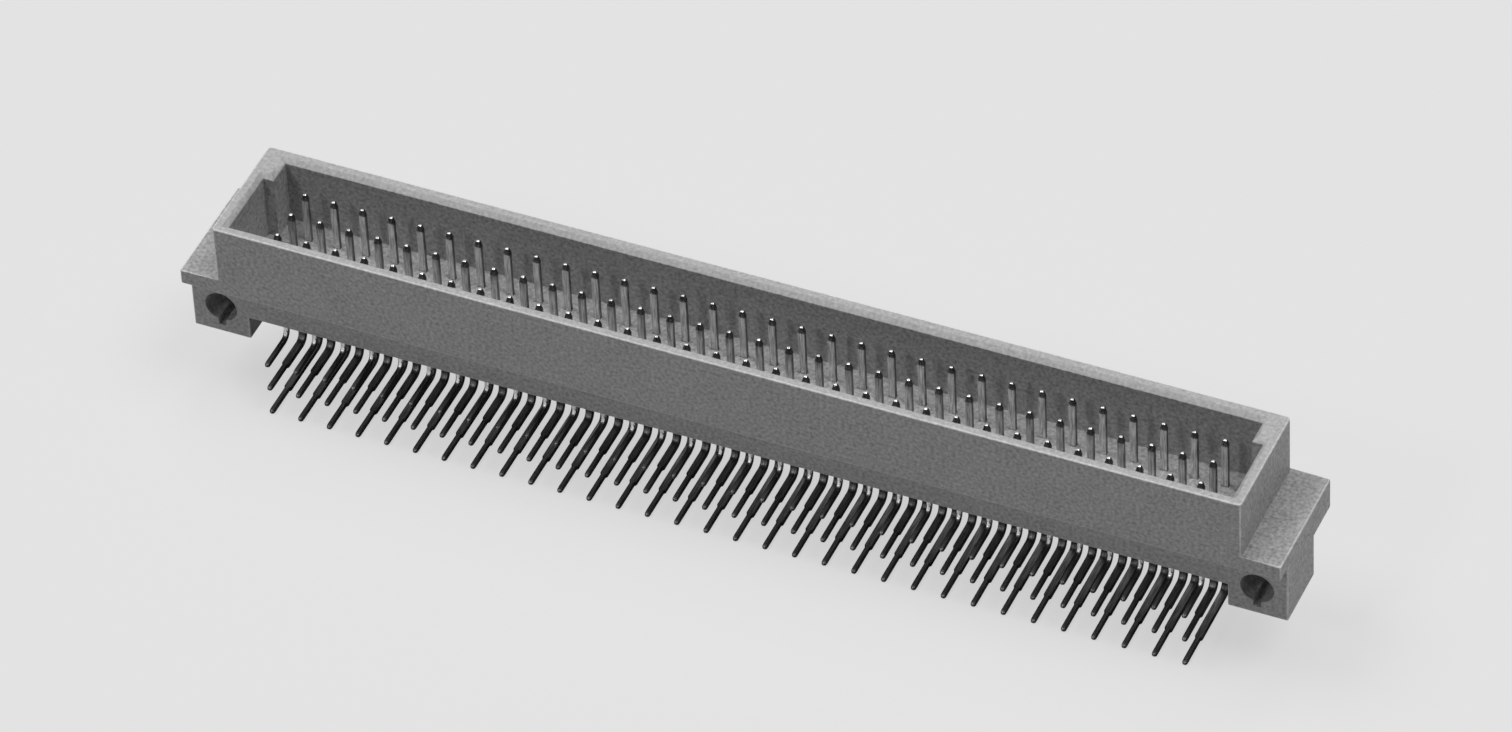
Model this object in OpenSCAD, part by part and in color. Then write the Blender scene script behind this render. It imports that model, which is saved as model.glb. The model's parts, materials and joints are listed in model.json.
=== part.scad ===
// Right-angle board connector with a shrouded three-row field of bent contacts.
// X runs along the rows, +Z is the mating direction and the board lies against the seat at Y = 0.
// The line through the two fixing holes, on the seat, is the origin of Y and Z.

/* [Contact field] */
// Spacing of neighbouring contacts and of neighbouring rows
pitch = 2.54; // [2.4:0.01:3]
// Contacts in each row
columns = 32; // [8:2:38]
// Width of the contact strip
strip_w = 0.6; // [0.5:0.02:0.7]
// Thickness of the contact strip
strip_t = 0.4; // [0.3:0.02:0.5]
// Clearance round a contact in its passage
passage_gap = 0.02; // [0.01:0.01:0.05]

/* [Pins] */
// Height of the pins above the cavity floor
pin_h = 4.85; // [3.5:0.05:5.5]
// Length of the tapered pin point
point_l = 0.6; // [0.3:0.05:1]
// Width of the flat that ends a pin or a tail
point_flat = 0.26; // [0.16:0.02:0.28]

/* [Retention] */
// Width of the grip that holds a contact in the housing
grip_w = 0.95; // [0.75:0.05:1.2]
// Length of the grip
grip_l = 2.2; // [1:0.1:2.4]
// Depth of the ledge that stops the grip, below the cavity floor
ledge_depth = 1; // [0.6:0.1:1.4]

/* [Tails] */
// Inside radius of the bend
bend_r = 0.55; // [0.3:0.05:0.7]
// Drop from the fixing holes to the first tail row
first_drop = 2.54; // [2.3:0.02:3.4]
// Length of the tails beyond the board seat
tail_out = 2.6; // [2:0.1:4]
// Width of the long contacts from the housing to their shoulders
leg_w = 0.66; // [0.5:0.02:0.7]
// Width of the tails where they go through the board
tail_w = 0.42; // [0.3:0.02:0.48]
// Height of the tail shoulders above the board seat
shoulder_h = 0.5; // [0.2:0.05:0.7]
// Length of the sloped step at a tail shoulder
shoulder_l = 0.15; // [0.05:0.05:0.3]

/* [Shroud] */
// Thickness of the shroud walls
wall = 1.05; // [0.8:0.05:1.4]
// Radius of the upright outer corners of the shroud
corner_r = 0.35; // [0.1:0.05:0.8]
// Height of the shroud above the flange
shroud_h = 5.45; // [4.5:0.05:7]
// Size of the lead-in chamfer round the mouth and on the keys
lead_in = 0.4; // [0.2:0.05:0.6]
// Room from the centre of an end contact to the end wall
end_room = 3.32; // [3:0.02:4]
// Room from the centre of an outer row to the side wall
side_room = 1.71; // [1.4:0.01:2.4]
// Depth of the cavity floor below the top of the flange
floor_depth = 0.85; // [0.3:0.05:1.1]

/* [Coding keys] */
// Thickness of the key in each end of the cavity
key_t = 0.9; // [0.6:0.05:1.6]
// Length of a key out of the back corner
key_l = 2.25; // [1.2:0.05:3.5]

/* [Body] */
// Distance from the board seat to the first contact row
seat_to_row = 1.27; // [1.1:0.01:2]
// Thickness of the body behind the last contact row
body_back = 1.27; // [0.9:0.01:2]
// Depth of the body's underside below the fixing holes
body_drop = 0.45; // [0.1:0.05:0.8]

/* [Flange] */
// Height of the flange's top above the fixing holes
flange_h = 4.45; // [4.2:0.05:5.5]
// Thickness of the front lip, which overhangs the board's edge
lip_t = 1.4; // [0.8:0.05:2]
// Thickness of the flange behind the board seat
flange_t = 2.95; // [1.6:0.05:3.4]

/* [Fixing ears] */
// Distance from an end contact to the fixing hole
hole_offset = 5.08; // [4.8:0.02:6.5]
// Diameter of the fixing holes
hole_d = 2.8; // [2.2:0.1:3]
// Distance from a fixing hole to the end of the flange
hole_to_end = 2.55; // [2.3:0.05:4]
// Length of an ear along the rows
ear_l = 5; // [4.7:0.1:6]
// Depth of an ear behind the board seat
ear_d = 5.6; // [4:0.1:7.5]
// Depth of an ear's underside below the fixing holes
ear_drop = 2.65; // [2.5:0.05:4]
// Width of the slit below each fixing hole
slit_w = 0.65; // [0.4:0.05:0.8]
// Length of the slit below each fixing hole
slit_l = 0.55; // [0.3:0.05:1]

/* [Hidden] */
ROWS = ["a", "b", "c"];
GROUP = 2;
$fn = 48;
// Overshoot of a cut past the face it opens
cut = 1;

// Contact field: places of the columns and rows
span_x = (columns - 1) * pitch;
span_y = (len(ROWS) - 1) * pitch;
field_y = seat_to_row + span_y / 2;

// Heights above the fixing holes
rim_z = flange_h + shroud_h;
floor_z = flange_h - floor_depth;
tip_z = floor_z + pin_h;
ledge_z = floor_z - ledge_depth;
body_z = -body_drop;

// Plan sizes of the cavity, the shroud round it and the flange
cavity_x = span_x + 2 * end_room;
cavity_y = span_y + 2 * side_room;
shroud_x = cavity_x + 2 * wall;
shroud_y = cavity_y + 2 * wall;
hole_x = span_x / 2 + hole_offset;
flange_x = 2 * (hole_x + hole_to_end);
body_y = seat_to_row + span_y + body_back;
back_y = field_y + shroud_y / 2;

// Place of column number i, counted from 0, and of row number i
function column_x(i) = i * pitch - span_x / 2;
function row_y(i) = seat_to_row + i * pitch;
function tail_z(i) = -first_drop - i * pitch;
// Width of a leg: the first row has no room for shoulders and is narrow from the housing down
function leg_width(row) = row == 0 ? tail_w : leg_w;

// Two-digit contact number and the name of a group of contacts in one row
function two_digits(i) = str(i < 10 ? "0" : "", i);
function group_name(row, group) = str("row_", ROWS[row], "_contacts_",
    two_digits(GROUP * group + 1), "_", two_digits(GROUP * group + GROUP));

// Extrudes an outline drawn in Y and Z along X, centred on X = 0
module along_x(length) {
    rotate([90, 0, 90])
        linear_extrude(length, center = true)
            children();
}

// Extrudes an outline drawn in X and Z from Y = near to Y = far
module along_y(near, far) {
    translate([0, far, 0])
        rotate([90, 0, 0])
            linear_extrude(far - near)
                children();
}

// Box centred on X = 0 between two corners in Y and Z
module bar(length, low, high) {
    translate([-length / 2, low.x, low.y])
        cube([length, high.x - low.x, high.y - low.y]);
}

// Box like a bar, with its four upright corners rounded
module rounded_bar(length, low, high, r) {
    bar(length - 2 * r, low, high);
    bar(length, [low.x + r, low.y], [high.x - r, high.y]);
    for (x = [r - length / 2, length / 2 - r], y = [low.x + r, high.x - r])
        translate([x, y, low.y])
            cylinder(r = r, h = high.y - low.y);
}

// Outline that is a half outline and its mirror image
module both_sides() {
    children();
    mirror([1, 0])
        children();
}

// One contact: side view of the bent strip, in Y and Z about its own row
module strip_side(row) {
    inner = strip_t / 2 + bend_r;
    outer = inner + strip_t / 2;
    tail_end = -tail_out;
    low = tail_z(row);
    centre = [row_y(row) - inner, low + inner];
    translate([row_y(row), 0])
        polygon([
            [-strip_t / 2, centre.y],
            [strip_t / 2, centre.y],
            [strip_t / 2, tip_z - point_l],
            [point_flat / 2, tip_z],
            [-point_flat / 2, tip_z],
            [-strip_t / 2, tip_z - point_l]
        ]);
    translate(centre)
        intersection() {
            difference() {
                circle(outer);
                circle(bend_r);
            }
            translate([0, -outer])
                square(outer);
        }
    translate([0, low])
        polygon([
            [centre.x, -strip_t / 2],
            [centre.x, strip_t / 2],
            [tail_end + tail_w, strip_t / 2],
            [tail_end, point_flat / 2],
            [tail_end, -point_flat / 2],
            [tail_end + tail_w, -strip_t / 2]
        ]);
}

// One contact: front view of the upright leg, in X and Z, with its grip and its point
module leg_front(row) {
    both_sides()
        polygon([
            [0, tail_z(row) - strip_t],
            [leg_width(row) / 2, tail_z(row) - strip_t],
            [leg_width(row) / 2, ledge_z - grip_l],
            [grip_w / 2, ledge_z - grip_l],
            [grip_w / 2, ledge_z],
            [strip_w / 2, ledge_z],
            [strip_w / 2, tip_z - point_l],
            [point_flat / 2, tip_z],
            [0, tip_z]
        ]);
}

// One contact: top view of the tail, in X and Y, with its shoulders and its round end
module tail_top(row) {
    both_sides()
        polygon([
            [0, tail_w / 2 - tail_out],
            [tail_w / 2, tail_w / 2 - tail_out],
            [tail_w / 2, shoulder_h - shoulder_l],
            [leg_width(row) / 2, shoulder_h],
            [leg_width(row) / 2, row_y(row)],
            [0, row_y(row)]
        ]);
    translate([0, tail_w / 2 - tail_out])
        circle(tail_w / 2);
}

// One contact, stamped from strip and bent, centred on X = 0
module contact(row) {
    bend_end = row_y(row) - strip_t / 2 - bend_r;
    intersection() {
        along_x(grip_w)
            strip_side(row);
        union() {
            along_y(bend_end, row_y(row) + strip_t)
                leg_front(row);
            translate([0, 0, tail_z(row) - strip_t])
                linear_extrude(2 * strip_t)
                    tail_top(row);
        }
    }
}

// Neighbouring contacts of one row, all of one length
module contact_group(row, group) {
    color("silver")
        for (i = [0:GROUP - 1])
            translate([column_x(GROUP * group + i), 0, 0])
                contact(row);
}

// Stepped passage for a contact: a slot for the pin above the ledge and one for the grip below it
module passage(row) {
    pin_slot = [strip_w + 2 * passage_gap, strip_t + 2 * passage_gap];
    grip_slot = [grip_w + 2 * passage_gap, pin_slot.y];
    translate([-pin_slot.x / 2, row_y(row) - pin_slot.y / 2, ledge_z])
        cube([pin_slot.x, pin_slot.y, ledge_depth + cut]);
    translate([-grip_slot.x / 2, row_y(row) - grip_slot.y / 2, body_z - cut])
        cube([grip_slot.x, grip_slot.y, ledge_z - body_z + cut]);
}

// Cavity that takes the mating connector
module cavity() {
    bar(cavity_x, [field_y - cavity_y / 2, floor_z], [field_y + cavity_y / 2, rim_z + cut]);
}

// Lead-in: a cut that widens upwards on all four sides of the mouth
module mouth() {
    rise = lead_in + cut;
    intersection() {
        along_x(cavity_x + 2 * rise)
            translate([field_y, rim_z - lead_in])
                both_sides()
                    polygon([[0, 0], [cavity_y / 2, 0], [cavity_y / 2 + rise, rise], [0, rise]]);
        along_y(field_y - cavity_y / 2 - rise, field_y + cavity_y / 2 + rise)
            translate([0, rim_z - lead_in])
                both_sides()
                    polygon([[0, 0], [cavity_x / 2, 0], [cavity_x / 2 + rise, rise], [0, rise]]);
    }
}

// Outline of a key seen along one of its free faces, from that face back into the wall
module key_side(depth) {
    high = rim_z - floor_z;
    polygon([[0, 0], [depth, 0], [depth, high], [lead_in, high], [0, high - lead_in]]);
}

// Coding key in the back corner of the cavity's right end, let into the walls behind it
module key() {
    depth = key_l + wall / 2;
    length = key_t + wall / 2;
    translate([cavity_x / 2 - key_t, field_y + cavity_y / 2 - key_l, floor_z])
        intersection() {
            translate([length / 2, 0, 0])
                along_x(length)
                    key_side(depth);
            along_y(0, depth)
                key_side(length);
        }
}

// Right-hand fixing ear below the flange
module ear() {
    translate([flange_x / 2 - ear_l, 0, -ear_drop])
        cube([ear_l, ear_d, ear_drop + flange_h - lip_t]);
}

// Fixing hole through the right-hand ear, with the slit below it
module fixing_hole() {
    translate([hole_x, 0, 0])
        along_y(-cut, ear_d + cut) {
            circle(d = hole_d);
            translate([-slit_w / 2, -hole_d / 2 - slit_l])
                square([slit_w, hole_d / 2 + slit_l]);
        }
}

// Copies a feature of the right-hand end to the left-hand end
module both_ends() {
    children();
    mirror([1, 0, 0])
        children();
}

// Housing, moulded in one piece
module housing() {
    color("dimgray") {
        difference() {
            union() {
                // Shroud and the lip in front of the board seat
                rounded_bar(shroud_x, [field_y - shroud_y / 2, floor_z], [back_y, rim_z], corner_r);
                bar(flange_x, [field_y - shroud_y / 2, flange_h - lip_t], [back_y, flange_h]);
                // Flange behind the seat, and the body that carries the contacts
                bar(flange_x, [0, flange_h - flange_t], [back_y, flange_h]);
                bar(flange_x - 2 * ear_l, [0, body_z], [body_y, flange_h]);
                both_ends()
                    ear();
            }
            cavity();
            mouth();
            for (row = [0:len(ROWS) - 1], i = [0:columns - 1])
                translate([column_x(i), 0, 0])
                    passage(row);
            both_ends()
                fixing_hole();
        }
        both_ends()
            key();
    }
}

housing();
for (row = [0:len(ROWS) - 1], group = [0:columns / GROUP - 1])
    contact_group(row, group);
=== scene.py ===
import json
import logging
import math
from dataclasses import dataclass, field, replace
from enum import Enum
from typing import Any

import bmesh
import bpy
from mathutils import Matrix, Vector


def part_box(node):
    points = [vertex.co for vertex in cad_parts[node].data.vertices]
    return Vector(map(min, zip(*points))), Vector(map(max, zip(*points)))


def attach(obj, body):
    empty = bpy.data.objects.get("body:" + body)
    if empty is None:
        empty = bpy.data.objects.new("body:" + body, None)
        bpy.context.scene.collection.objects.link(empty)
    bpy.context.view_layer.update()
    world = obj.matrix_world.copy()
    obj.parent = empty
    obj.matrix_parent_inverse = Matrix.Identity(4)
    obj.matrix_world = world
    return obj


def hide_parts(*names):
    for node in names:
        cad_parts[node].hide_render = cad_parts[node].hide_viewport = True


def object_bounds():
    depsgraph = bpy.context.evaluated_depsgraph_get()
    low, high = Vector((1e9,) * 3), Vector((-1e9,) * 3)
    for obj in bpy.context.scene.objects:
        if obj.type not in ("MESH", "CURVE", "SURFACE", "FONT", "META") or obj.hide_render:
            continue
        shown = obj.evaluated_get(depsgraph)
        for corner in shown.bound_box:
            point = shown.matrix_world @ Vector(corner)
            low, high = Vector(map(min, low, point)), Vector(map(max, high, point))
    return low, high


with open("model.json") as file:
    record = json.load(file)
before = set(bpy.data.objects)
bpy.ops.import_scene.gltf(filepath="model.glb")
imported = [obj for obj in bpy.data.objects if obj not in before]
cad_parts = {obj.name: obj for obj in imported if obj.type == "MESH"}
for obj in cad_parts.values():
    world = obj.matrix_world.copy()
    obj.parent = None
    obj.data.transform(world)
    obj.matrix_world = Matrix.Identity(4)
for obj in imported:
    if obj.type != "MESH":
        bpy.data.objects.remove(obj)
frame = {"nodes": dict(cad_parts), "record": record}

LOG = logging.getLogger("backplane_connector")
# One millimetre in metres, the unit of the frame.
MM = 0.001
BODY = "root"
CAD_LOW, CAD_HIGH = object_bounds()
# The sRGB curve: a straight foot up to the knee, and above it a power of the lifted share.
BYTE_FULL = 255
SRGB_KNEE = 0.04045
SRGB_FOOT = 12.92
SRGB_LIFT = 0.055
SRGB_POWER = 2.4


class Slot(Enum):
    """Material slots of the record, handed to each piece's finish but not used."""

    HOUSING = "housing_plastic"
    CONTACT = "plated_contact"


class MouldedFace(Enum):
    """Faces of the moulding by finish, each with its place in the piece's list of materials."""

    SKIN = 0
    RUBBED = 1
    EDGE = 2


class ContactFace(Enum):
    """Faces of a contact by finish, each with its place in the piece's list of materials."""

    ROLLED = 0
    SHEARED = 1
    COINED = 2
    BURNISHED = 3


class EdgeKind(Enum):
    """How an edge of a piece leaves the tool."""

    SHARP = "sharp"
    FINE = "fine"
    EASED = "eased"
    ROUND = "round"


def linear(hex_colour: str) -> tuple[float, float, float, float]:
    """Turns an sRGB hex colour into a linear colour for a shader socket.

    Args:
        hex_colour: Colour as "#RRGGBB".

    Returns:
        Linear red, green and blue, with an alpha of 1.
    """
    shares = [byte / BYTE_FULL for byte in bytes.fromhex(hex_colour.lstrip("#"))]
    red, green, blue = (
        share / SRGB_FOOT if share <= SRGB_KNEE else ((share + SRGB_LIFT) / (1 + SRGB_LIFT)) ** SRGB_POWER
        for share in shares)
    return red, green, blue, 1.0


def add_node(tree: bpy.types.NodeTree, kind: str, settings: dict[str, Any] | None = None,
             sockets: dict[str | int, Any] | None = None) -> bpy.types.Node:
    """Adds one node, with its settings and its inputs.

    Args:
        tree: Node tree that takes the node.
        kind: Blender's name for the node type.
        settings: Attributes of the node.
        sockets: Inputs by name or number, each a value or the output socket that feeds it.

    Returns:
        The new node.
    """
    node = tree.nodes.new(kind)
    for name, value in (settings or {}).items():
        setattr(node, name, value)
    for name, value in (sockets or {}).items():
        if isinstance(value, bpy.types.NodeSocket):
            tree.links.new(value, node.inputs[name])
        else:
            node.inputs[name].default_value = value
    return node


def new_material(name: str) -> tuple[bpy.types.Material, bpy.types.NodeTree]:
    """Makes an empty node material.

    Args:
        name: Name of the material.

    Returns:
        The material and its node tree.
    """
    material = bpy.data.materials.new(name)
    material.use_nodes = True
    material.node_tree.nodes.clear()
    return material, material.node_tree


@dataclass(frozen=True)
class MouldedPolyester:
    """Glass-filled polyester, moulded in a spark-eroded tool.

    The eye sees a matt grey, mottled by the fine grain of the tool and by the glass near the surface, with
    faint clouds where the melt flowed and a weak broad sheen.

    Attributes:
        name: Name of the material.
        pale: Colour on the peaks of the grain.
        deep: Colour in the hollows of the grain.
        roughness: Roughness in the hollows and on the peaks.
        ior: Refractive index of the polyester.
        grain: Width of a grain.
        grain_detail: Finer layers in the grain.
        grain_height: Depth of the grain.
        grain_span: Part of the noise's range that the grain and the clouds spread over.
        cloud: Width of a cloud.
        cloud_share: Share of the clouds in the tone.
    """

    name: str = "glass_filled_polyester_moulded"
    pale: str = "#C2C2C2"
    deep: str = "#7C7C7C"
    roughness: tuple[float, float] = (0.46, 0.64)
    ior: float = 1.56
    # The real grain is about 0.05 mm: it is drawn coarser, or it wouldn't show in the render.
    grain: float = 0.3 * MM
    grain_detail: float = 3.0
    grain_height: float = 0.02 * MM
    grain_span: tuple[float, float] = (0.28, 0.72)
    cloud: float = 2.5 * MM
    cloud_share: float = 0.12

    def build(self) -> bpy.types.Material:
        """Builds the material.

        Returns:
            The finished plastic.
        """
        material, tree = new_material(self.name)
        place = add_node(tree, "ShaderNodeTexCoord").outputs["Object"]
        grain = add_node(tree, "ShaderNodeTexNoise", sockets={
            "Vector": place, "Scale": 1 / self.grain, "Detail": self.grain_detail}).outputs["Fac"]
        cloud = add_node(tree, "ShaderNodeTexNoise", sockets={
            "Vector": place, "Scale": 1 / self.cloud}).outputs["Fac"]
        both = add_node(tree, "ShaderNodeMix", sockets={"Factor": self.cloud_share, "A": grain, "B": cloud})
        tone = add_node(tree, "ShaderNodeMapRange", sockets={
            "Value": both.outputs["Result"], "From Min": self.grain_span[0], "From Max": self.grain_span[1]})
        colour = add_node(tree, "ShaderNodeMix", {"data_type": "RGBA"}, {
            "Factor": tone.outputs["Result"], "A": linear(self.deep), "B": linear(self.pale)})
        gloss = add_node(tree, "ShaderNodeMapRange", sockets={
            "Value": grain, "To Min": self.roughness[0], "To Max": self.roughness[1]})
        bump = add_node(tree, "ShaderNodeBump", sockets={"Distance": self.grain_height, "Height": grain})
        shader = add_node(tree, "ShaderNodeBsdfPrincipled", sockets={
            "Base Color": colour.outputs["Result"], "Roughness": gloss.outputs["Result"], "IOR": self.ior,
            "Normal": bump.outputs["Normal"]})
        add_node(tree, "ShaderNodeOutputMaterial", sockets={"Surface": shader.outputs["BSDF"]})
        return material


@dataclass(frozen=True)
class PlatedStrip:
    """Copper alloy strip, stamped, with bright plating on the pins and dull tin on the tails.

    The eye sees a near mirror with fine marks: pins as grey as the cavity round them with white tips, and
    tails that are almost black: the tin there is dull, and its colour is drawn darker still as painted shade
    for the shadowed underside of the housing that it mirrors.

    Attributes:
        name: Name of the material.
        pin: Colour of the bright plating.
        tail: Colour of the tin, darkened beyond dull tin as painted shade.
        pin_roughness: Roughness of the bright plating.
        tail_roughness: Roughness of the tin.
        change: Heights between which the plating changes, in the bends of the short contacts.
        mark_width: Width of a rolling mark.
        mark_length: Length of a rolling mark.
        mark_height: Depth of the marks.
        mark_span: Part of the noise's range that the marks spread over.
        mark_colour: What the deepest marks multiply the colour by.
        mark_roughness: What the deepest marks add to the roughness.
    """

    name: str = "copper_alloy_strip_plated"
    pin: str = "#E8E8E8"
    # Dull tin, darkened further as painted shade for the shadowed underside that the tails mirror.
    tail: str = "#6A6A6A"
    pin_roughness: float = 0.14
    tail_roughness: float = 0.4
    change: tuple[float, float] = (-2.3 * MM, -2.0 * MM)
    # The rolling marks run along the strip: they are finer, but drawn coarser, or they wouldn't show.
    mark_width: float = 0.12 * MM
    mark_length: float = 1.5 * MM
    mark_height: float = 0.0006 * MM
    mark_span: tuple[float, float] = (0.3, 0.65)
    mark_colour: str = "#B0B0B0"
    mark_roughness: float = 0.08

    def build(self) -> bpy.types.Material:
        """Builds the material.

        Returns:
            The finished plated metal.
        """
        material, tree = new_material(self.name)
        place = add_node(tree, "ShaderNodeTexCoord").outputs["Object"]
        height = add_node(tree, "ShaderNodeSeparateXYZ", sockets={"Vector": place}).outputs["Z"]
        plating = add_node(tree, "ShaderNodeMapRange", {"interpolation_type": "SMOOTHSTEP"}, {
            "Value": height, "From Min": self.change[0], "From Max": self.change[1]})
        clean = add_node(tree, "ShaderNodeMix", {"data_type": "RGBA"}, {
            "Factor": plating.outputs["Result"], "A": linear(self.tail), "B": linear(self.pin)})
        along = add_node(tree, "ShaderNodeMapping", sockets={
            "Vector": place, "Scale": (1 / self.mark_width, 1 / self.mark_length, 1 / self.mark_length)})
        marks = add_node(tree, "ShaderNodeTexNoise", sockets={
            "Vector": along.outputs["Vector"], "Scale": 1.0}).outputs["Fac"]
        depth = add_node(tree, "ShaderNodeMapRange", sockets={
            "Value": marks, "From Min": self.mark_span[1], "From Max": self.mark_span[0]})
        colour = add_node(tree, "ShaderNodeMix", {"data_type": "RGBA", "blend_type": "MULTIPLY"}, {
            "Factor": depth.outputs["Result"], "A": clean.outputs["Result"], "B": linear(self.mark_colour)})
        dull = add_node(tree, "ShaderNodeMapRange", sockets={
            "Value": plating.outputs["Result"], "To Min": self.tail_roughness, "To Max": self.pin_roughness})
        gloss = add_node(tree, "ShaderNodeMath", {"operation": "MULTIPLY_ADD"}, {
            0: depth.outputs["Result"], 1: self.mark_roughness, 2: dull.outputs["Result"]})
        bump = add_node(tree, "ShaderNodeBump", sockets={"Distance": self.mark_height, "Height": marks})
        shader = add_node(tree, "ShaderNodeBsdfPrincipled", sockets={
            "Base Color": colour.outputs["Result"], "Metallic": 1.0, "Roughness": gloss.outputs["Value"],
            "Normal": bump.outputs["Normal"]})
        add_node(tree, "ShaderNodeOutputMaterial", sockets={"Surface": shader.outputs["BSDF"]})
        return material


# The rim and its lead-in are drawn paler: their grain has paler hollows, and a little more sheen. The outer
# edges are the palest: partly wear, partly a painted highlight where light catches them.
MOULDED_SKIN = MouldedPolyester()
PALE_RIM_SKIN = replace(MOULDED_SKIN, name="glass_filled_polyester_rubbed", deep="#989898",
                      roughness=(0.36, 0.52))
WORN_EDGE_AND_HIGHLIGHT = replace(PALE_RIM_SKIN, name="glass_filled_polyester_worn_edge", pale="#E4E4E4", deep="#B8B8B8")
# The sides of the strip are torn by the shears and stay dull; their dark colour is partly painted shade
# for the shadowed cavity and underside that they mirror. The coined points are a greyer mirror, and the
# sides of the pins, rubbed by the die that trims them, are a dull grey between the two, also partly shade.
ROLLED_STRIP = PlatedStrip()
SHEARED_SIDE_AND_SHADE = replace(ROLLED_STRIP, name="copper_alloy_strip_sheared", pin="#585858", tail="#343434",
                       pin_roughness=0.45, tail_roughness=0.6)
COINED_POINT = replace(ROLLED_STRIP, name="copper_alloy_point_coined", pin="#B0B0B0")
BURNISHED_SIDE_AND_SHADE = replace(SHEARED_SIDE_AND_SHADE, name="copper_alloy_side_burnished", pin="#929292")


@dataclass(frozen=True)
class EdgeRounding:
    """Radius of a rounded edge and the number of flats that make it up."""

    radius: float
    segments: int


@dataclass
class DressedCopy:
    """Merged copy of a CAD piece, whose edges are rounded and whose faces get their finishes.

    Attributes:
        node: CAD node that is copied.
        name: Name of the finished piece.
        merge: Distance within which loose vertices become one.
        flat_angle: Turn up to which neighbouring triangles lie in one plane.
        least_angle: Turn above which an edge is a corner.
        sharp_angle: Turn from which an edge is shaded sharp.
        work: The mesh while it is worked on.
    """

    node: str
    name: str
    merge: float = 0.0005 * MM
    flat_angle: float = math.radians(0.5)
    least_angle: float = math.radians(35)
    sharp_angle: float = math.radians(50)
    work: bmesh.types.BMesh = field(init=False)

    def __post_init__(self) -> None:
        """Copies the mesh, joins its loose triangles and clears the lines between those in one plane."""
        self.work = bmesh.new()
        self.work.from_mesh(frame["nodes"][self.node].data)
        bmesh.ops.remove_doubles(self.work, verts=self.work.verts, dist=self.merge)
        bmesh.ops.dissolve_limit(self.work, angle_limit=self.flat_angle, verts=self.work.verts,
                                 edges=self.work.edges)

    def corners(self) -> list[bmesh.types.BMEdge]:
        """Finds the edges at which the surface turns an outward corner: hollow corners stay sharp."""
        return [e for e in self.work.edges if e.is_convex and e.calc_face_angle() > self.least_angle]

    def round_off(self, edges: list[bmesh.types.BMEdge], rounding: EdgeRounding) -> list[bmesh.types.BMFace]:
        """Rounds some edges.

        Args:
            edges: Edges to be rounded.
            rounding: Radius and flats.

        Returns:
            The new faces along the edges.
        """
        made = bmesh.ops.bevel(self.work, geom=edges, offset=rounding.radius, offset_type="OFFSET",
                               affect="EDGES", segments=rounding.segments, profile=0.5, material=-1)
        self.work.normal_update()
        return made["faces"]

    def finish(self, finishes: list[bpy.types.Material], slot: Slot) -> bpy.types.Object:
        """Makes the object, dresses it and lets it stand for its CAD node.

        Args:
            finishes: Materials, in the order that the faces number them.
            slot: Material slot of the record.

        Returns:
            slot: Material slot of the record; not used.
        """
        for edge in self.work.edges:
            edge.smooth = edge.calc_face_angle(0.0) < self.sharp_angle
        for face in self.work.faces:
            face.smooth = True
        mesh = bpy.data.meshes.new(self.name)
        self.work.to_mesh(mesh)
        self.work.free()
        for finish in finishes:
            mesh.materials.append(finish)
        piece = bpy.data.objects.new(self.name, mesh)
        bpy.context.scene.collection.objects.link(piece)
        normals = piece.modifiers.new("even_normals", "WEIGHTED_NORMAL")
        normals.keep_sharp = True
        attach(piece, BODY)
        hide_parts(self.node)
        return piece


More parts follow.
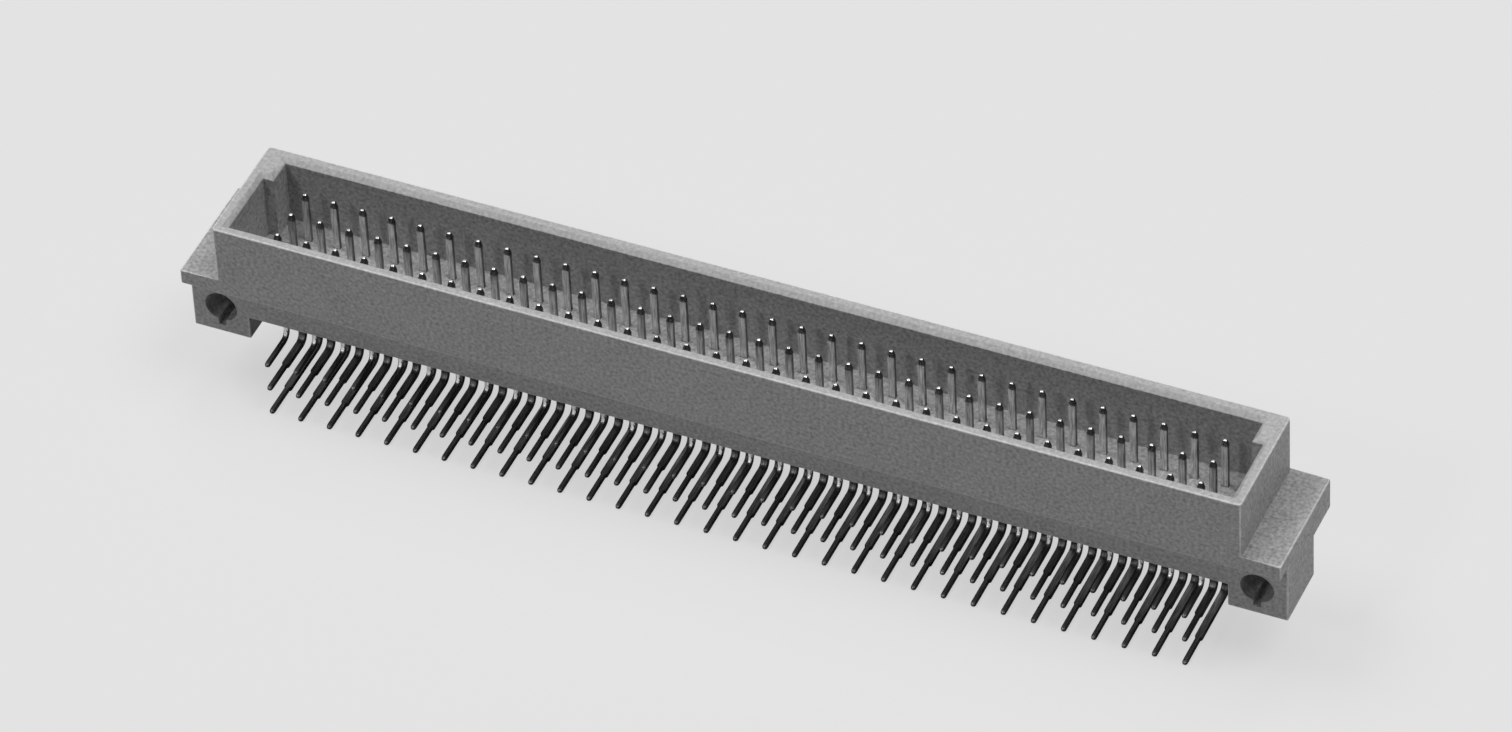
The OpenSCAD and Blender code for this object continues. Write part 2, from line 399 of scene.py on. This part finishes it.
@dataclass
class Housing:
    """The one-piece moulding: shroud, flange, ears, keys and contact passages.

    Attributes:
        node: CAD node of the moulding.
        name: Name of the finished piece.
        holes_mount: Mount of the record that gives the fixing holes.
        roundings: Rounding of each kind of edge, in the order that they are made.
        square_angle: Turn above which an edge is a square corner, and below which a chamfer's.
        level_slope: Upward share of a normal above which a face lies level.
        upright_slope: Upward share of a normal below which a face stands upright.
        corner_slope: Share of a normal, both lengthwise and across, above which a face rounds a corner.
        rim_depth: Height of the rim with its lead-in.
        passage_margin: Room round the contacts that still counts as their passages.
        passage_top: Depth below the pin tips at which the passages end, just above their mouths.
        slit_reach: How far a slit reaches past its fixing hole.
        passages: Lowest and highest corner of the field of passages.
        hole_reach: Distance from a hole's axis within which its edges lie.
        hole_x: Distance of a hole's axis from the middle.
    """

    node: str = "housing"
    name: str = "moulded_housing"
    holes_mount: str = "board_fixing_holes"
    roundings: dict[EdgeKind, EdgeRounding] = field(default_factory=lambda: {
        EdgeKind.FINE: EdgeRounding(radius=0.04 * MM, segments=2),
        EdgeKind.EASED: EdgeRounding(radius=0.05 * MM, segments=2),
        EdgeKind.ROUND: EdgeRounding(radius=0.12 * MM, segments=3)})
    square_angle: float = math.radians(70)
    level_slope: float = 0.6
    upright_slope: float = 0.2
    corner_slope: float = 0.5
    rim_depth: float = 0.45 * MM
    passage_margin: float = 0.3 * MM
    passage_top: float = 4.45 * MM
    slit_reach: float = 0.8 * MM
    passages: tuple[Vector, Vector] = field(init=False)
    hole_reach: float = field(init=False)
    hole_x: float = field(init=False)

    def __post_init__(self) -> None:
        """Finds the field of passages from the contacts in it, and the holes from the record."""
        boxes = [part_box(name) for name in frame["nodes"] if name != self.node]
        low_x = min(low.x for low, _ in boxes) - self.passage_margin
        high_x = max(high.x for _, high in boxes) + self.passage_margin
        high_y = max(high.y for _, high in boxes) + self.passage_margin
        high_z = max(high.z for _, high in boxes) - self.passage_top
        self.passages = Vector((low_x, self.passage_margin, CAD_LOW.z)), Vector((high_x, high_y, high_z))
        holes = next(m for m in frame["record"]["mounts"] if m["name"] == self.holes_mount)
        self.hole_x = holes["dims"]["spacing_x_mm"] / 2 * MM
        self.hole_reach = holes["dims"]["hole_r_mm"] * MM + self.slit_reach

    def kind(self, edge: bmesh.types.BMEdge) -> EdgeKind:
        """Says how an edge leaves the mould.

        Args:
            edge: Corner edge of the moulding.

        Returns:
            Sharp in the passages, fine at the fixing holes, eased at chamfers and round elsewhere.
        """
        low, high = self.passages
        ends = [vert.co for vert in edge.verts]
        if all(low[i] < end[i] < high[i] for end in ends for i in range(3)):
            return EdgeKind.SHARP
        if all(math.hypot(abs(end.x) - self.hole_x, end.z) < self.hole_reach for end in ends):
            return EdgeKind.FINE
        return EdgeKind.ROUND if edge.calc_face_angle() > self.square_angle else EdgeKind.EASED

    def face_kind(self, face: bmesh.types.BMFace) -> MouldedFace:
        """Says which finish a face of the moulding has.

        Args:
            face: Face of the moulding.

        Returns:
            Paler on the rim and its lead-in, pale on the round corners of the shroud, partly wear and partly
            a painted highlight, and skin elsewhere.
        """
        along = [abs(share) for share in face.normal]
        on_rim = min(vert.co.z for vert in face.verts) > CAD_HIGH.z - self.rim_depth
        # The round corners of the shroud are drawn pale: partly wear, partly a painted highlight.
        if min(along[:2]) > self.corner_slope and along[2] < self.upright_slope:
            return MouldedFace.EDGE
        return MouldedFace.RUBBED if on_rim and along[2] > self.level_slope else MouldedFace.SKIN

    def build(self, finishes: dict[MouldedFace, bpy.types.Material]) -> bpy.types.Object:
        """Makes the moulding with its small edge radii.

        Args:
            finishes: Plastic of each kind of face.

        Returns:
            The finished piece.
        """
        copy = DressedCopy(self.node, self.name)
        for face in copy.work.faces:
            face.material_index = self.face_kind(face).value
        kinds: dict[EdgeKind, list[bmesh.types.BMEdge]] = {kind: [] for kind in EdgeKind}
        for edge in copy.corners():
            kinds[self.kind(edge)].append(edge)
        for kind, rounding in self.roundings.items():
            made = copy.round_off([edge for edge in kinds[kind] if edge.is_valid], rounding)
            LOG.info("%d edges are %s", len(kinds[kind]), kind.value)
            # The round edges take the pale edge plastic: partly wear, partly a painted highlight.
            if kind is EdgeKind.ROUND:
                for face in made:
                    face.material_index = MouldedFace.EDGE.value
        return copy.finish([finishes[kind] for kind in MouldedFace], Slot.HOUSING)


@dataclass
class ContactField:
    """All the stamped and bent contacts, in their groups of equal neighbours.

    Attributes:
        prefix: Start of the pieces' names.
        node_start: Start of the names of the contacts' CAD nodes.
        roundings: Rounding of each kind of edge, in the order that they are made.
        point_length: Length of the point of a pin.
        tip_depth: Depth below the tip within which the edges of its flat end lie.
        side_slope: Sideways share of a normal above which a face is a side.
        tail_side_slope: The same on the tails, where the round edges count as sides.
        tail_top: Height below which a contact counts as tail.
        top_slope: Upward share of a normal above which a face of the point is its top.
    """

    prefix: str = "plated_"
    node_start: str = "row_"
    roundings: dict[EdgeKind, EdgeRounding] = field(default_factory=lambda: {
        EdgeKind.ROUND: EdgeRounding(radius=0.075 * MM, segments=2),
        EdgeKind.FINE: EdgeRounding(radius=0.045 * MM, segments=2)})
    point_length: float = 0.6 * MM
    tip_depth: float = 0.05 * MM
    side_slope: float = 0.75
    tail_side_slope: float = 0.3
    tail_top: float = -1.0 * MM
    top_slope: float = 0.5

    def face_kind(self, face: bmesh.types.BMFace, tip: float) -> ContactFace:
        """Says how a face of a contact was made.

        Args:
            face: Face of the contact.
            tip: Height of the tips.

        Returns:
            Burnished on the sides of the pin, sheared on those of the point and the tail with its round
            edges, coined on the front and back of the point, and rolled elsewhere.
        """
        heights = [vert.co.z for vert in face.verts]
        on_point = min(heights) > tip - self.point_length - self.tip_depth
        if on_point and face.normal.z > self.top_slope:
            return ContactFace.ROLLED
        on_tail = max(heights) < self.tail_top
        if abs(face.normal.x) > (self.tail_side_slope if on_tail else self.side_slope):
            return ContactFace.SHEARED if on_tail or on_point else ContactFace.BURNISHED
        return ContactFace.COINED if on_point else ContactFace.ROLLED

    def build_group(self, node: str, finishes: list[bpy.types.Material]) -> bpy.types.Object:
        """Makes one group of equal contacts.

        Args:
            node: CAD node of the group.
            finishes: Metals, in the order of the kinds of face.

        Returns:
            The finished piece.
        """
        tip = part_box(node)[1].z
        copy = DressedCopy(node, self.prefix + node)
        kinds: dict[EdgeKind, list[bmesh.types.BMEdge]] = {kind: [] for kind in self.roundings}
        for edge in copy.corners():
            at_tip = max(vert.co.z for vert in edge.verts) > tip - self.tip_depth
            kinds[EdgeKind.FINE if at_tip else EdgeKind.ROUND].append(edge)
        for kind, rounding in self.roundings.items():
            copy.round_off([edge for edge in kinds[kind] if edge.is_valid], rounding)
        for face in copy.work.faces:
            face.material_index = self.face_kind(face, tip).value
        return copy.finish(finishes, Slot.CONTACT)

    def build(self, finishes: dict[ContactFace, bpy.types.Material]) -> list[bpy.types.Object]:
        """Makes every contact.

        Args:
            finishes: Metal of each kind of face.

        Returns:
            The finished pieces, one for each group.
        """
        order = [finishes[kind] for kind in ContactFace]
        nodes = sorted(name for name in frame["nodes"] if name.startswith(self.node_start))
        return [self.build_group(node, order) for node in nodes]


@dataclass
class PhotoCamera:
    """Camera at the photograph's angle: a long lens from above, to the right of the front.

    Attributes:
        lens: Focal length in millimetres.
        sensor: Width of the sensor in millimetres.
        far: Distance beyond which nothing is drawn.
        azimuth: Turn from the front towards the right.
        elevation: Angle above the floor.
        roll: Turn about the line of sight.
        distance: Distance from the point that the camera aims at.
        aim: Point at the middle of the picture.
    """

    lens: float = 217.9
    sensor: float = 36.0
    far: float = 20.0
    azimuth: float = math.radians(25.756)
    elevation: float = math.radians(42.891)
    roll: float = math.radians(-3.149)
    distance: float = 720.4 * MM
    aim: Vector = field(default_factory=lambda: Vector((-0.159, 6.005, 3.202)) * MM)

    def build(self) -> bpy.types.Object:
        """Makes the camera and gives it to the scene.

        Returns:
            The camera object.
        """
        data = bpy.data.cameras.new("photo_camera")
        data.lens = self.lens
        data.sensor_width = self.sensor
        data.clip_end = self.far
        camera = bpy.data.objects.new("photo_camera", data)
        bpy.context.scene.collection.objects.link(camera)
        level = math.cos(self.elevation)
        right, front, up = math.sin(self.azimuth), math.cos(self.azimuth), math.sin(self.elevation)
        back = Vector((right * level, -front * level, up))
        turn = back.to_track_quat("Z", "Y").to_matrix().to_4x4() @ Matrix.Rotation(self.roll, 4, "Z")
        camera.matrix_world = Matrix.Translation(self.aim + back * self.distance) @ turn
        bpy.context.scene.camera = camera
        return camera


@dataclass(frozen=True)
class Softbox:
    """A distant soft light.

    Attributes:
        name: Name of the light.
        strength: Power on a facing surface.
        angle: Angle that the light fills, in degrees.
        tilt: Angle from overhead, in degrees.
        turn: Direction that it comes from, in degrees from the right end towards the back.
    """

    name: str
    strength: float
    angle: float
    tilt: float
    turn: float

    def build(self) -> bpy.types.Object:
        """Makes the light.

        Returns:
            The light object.
        """
        data = bpy.data.lights.new(self.name, "SUN")
        data.energy = self.strength
        data.angle = math.radians(self.angle)
        light = bpy.data.objects.new(self.name, data)
        light.rotation_euler = (0.0, math.radians(self.tilt), math.radians(self.turn))
        bpy.context.scene.collection.objects.link(light)
        return light


@dataclass
class Studio:
    """Pale floor, an even pale surround, two soft lights over the rows, one behind and a small one in front.

    Attributes:
        pale: Colour of the floor and the surround as they are seen.
        floor_colour: Colour of the floor for the light that it spreads.
        shadow_share: Share of the floor's own shading that is seen, the rest being even.
        fill: Strength of the surround as a light.
        floor_half: Half the width of the floor.
        softboxes: The lights.
    """

    pale: str = "#E5E5E5"
    floor_colour: str = "#A4A4A4"
    shadow_share: float = 0.26
    fill: float = 0.02
    floor_half: float = 3.0
    softboxes: tuple[Softbox, ...] = (
        Softbox("overhead_right", strength=1.25, angle=30, tilt=26, turn=0),
        Softbox("overhead_left", strength=1.3, angle=30, tilt=30, turn=180),
        Softbox("back", strength=0.38, angle=20, tilt=25, turn=100),
        Softbox("front_small", strength=0.4, angle=9, tilt=50.7, turn=244))

    def seen_by_eye(self, tree: bpy.types.NodeTree) -> bpy.types.NodeSocket:
        """Adds the test for rays that show the surround: camera, mirror and glass rays.

        Args:
            tree: Node tree that takes the test.

        Returns:
            A socket that is 1 for those rays and 0 for the light that spreads.
        """
        path = add_node(tree, "ShaderNodeLightPath").outputs
        mirror = add_node(tree, "ShaderNodeMath", {"operation": "MAXIMUM"}, {
            0: path["Is Camera Ray"], 1: path["Is Glossy Ray"]})
        glass = add_node(tree, "ShaderNodeMath", {"operation": "MAXIMUM"}, {
            0: mirror.outputs["Value"], 1: path["Is Transmission Ray"]})
        return glass.outputs["Value"]

    def build_floor(self) -> bpy.types.Object:
        """Makes the floor under the lowest tails: pale to the eye, with a light shadow.

        Returns:
            The floor.
        """
        # Matt paint on board: the eye sees an even pale ground without gloss, darker only in the shadow.
        material, tree = new_material("painted_board_matt_pale")
        glow = add_node(tree, "ShaderNodeEmission", sockets={"Color": linear(self.pale)})
        paint = add_node(tree, "ShaderNodeBsdfDiffuse", sockets={"Color": linear(self.pale)})
        lifted = add_node(tree, "ShaderNodeMath", {"operation": "MULTIPLY"}, {
            0: add_node(tree, "ShaderNodeLightPath").outputs["Is Camera Ray"], 1: 1 - self.shadow_share})
        shown = add_node(tree, "ShaderNodeMixShader", sockets={
            0: lifted.outputs["Value"], 1: paint.outputs["BSDF"], 2: glow.outputs["Emission"]})
        spread = add_node(tree, "ShaderNodeBsdfDiffuse", sockets={"Color": linear(self.floor_colour)})
        both = add_node(tree, "ShaderNodeMixShader", sockets={
            0: self.seen_by_eye(tree), 1: spread.outputs["BSDF"], 2: shown.outputs["Shader"]})
        add_node(tree, "ShaderNodeOutputMaterial", sockets={"Surface": both.outputs["Shader"]})
        work = bmesh.new()
        bmesh.ops.create_grid(work, x_segments=1, y_segments=1, size=self.floor_half)
        bmesh.ops.translate(work, verts=work.verts, vec=Vector((0, 0, CAD_LOW.z)))
        mesh = bpy.data.meshes.new("studio_floor")
        work.to_mesh(mesh)
        work.free()
        mesh.materials.append(material)
        floor = bpy.data.objects.new("studio_floor", mesh)
        bpy.context.scene.collection.objects.link(floor)
        return floor

    def build_surround(self) -> bpy.types.World:
        """Makes the world: pale where it is seen, an even fill where it lights.

        Returns:
            The world.
        """
        world = bpy.data.worlds.new("pale_surround")
        world.use_nodes = True
        tree = world.node_tree
        tree.nodes.clear()
        strength = add_node(tree, "ShaderNodeMapRange", sockets={
            "Value": self.seen_by_eye(tree), "To Min": self.fill, "To Max": 1.0})
        light = add_node(tree, "ShaderNodeBackground", sockets={
            "Color": linear(self.pale), "Strength": strength.outputs["Result"]})
        add_node(tree, "ShaderNodeOutputWorld", sockets={"Surface": light.outputs["Background"]})
        bpy.context.scene.world = world
        return world

    def build(self) -> None:
        """Makes the floor, the surround and the lights, and sets a plain view."""
        self.build_floor()
        self.build_surround()
        for softbox in self.softboxes:
            softbox.build()
        bpy.context.scene.view_settings.view_transform = "Standard"


def main() -> None:
    """Builds the camera, the pieces and the studio in order, and reports each piece."""
    logging.basicConfig(level=logging.INFO, format="%(name)s: %(message)s")
    PhotoCamera().build()
    plastics = {MouldedFace.SKIN: MOULDED_SKIN.build(), MouldedFace.RUBBED: PALE_RIM_SKIN.build(),
                MouldedFace.EDGE: WORN_EDGE_AND_HIGHLIGHT.build()}
    metals = {ContactFace.ROLLED: ROLLED_STRIP.build(), ContactFace.SHEARED: SHEARED_SIDE_AND_SHADE.build(),
              ContactFace.COINED: COINED_POINT.build(), ContactFace.BURNISHED: BURNISHED_SIDE_AND_SHADE.build()}
    for piece in [Housing().build(plastics), *ContactField().build(metals)]:
        LOG.info("%s has %d faces", piece.name, len(piece.data.polygons))
    Studio().build()


if __name__ == "__main__":
    main()
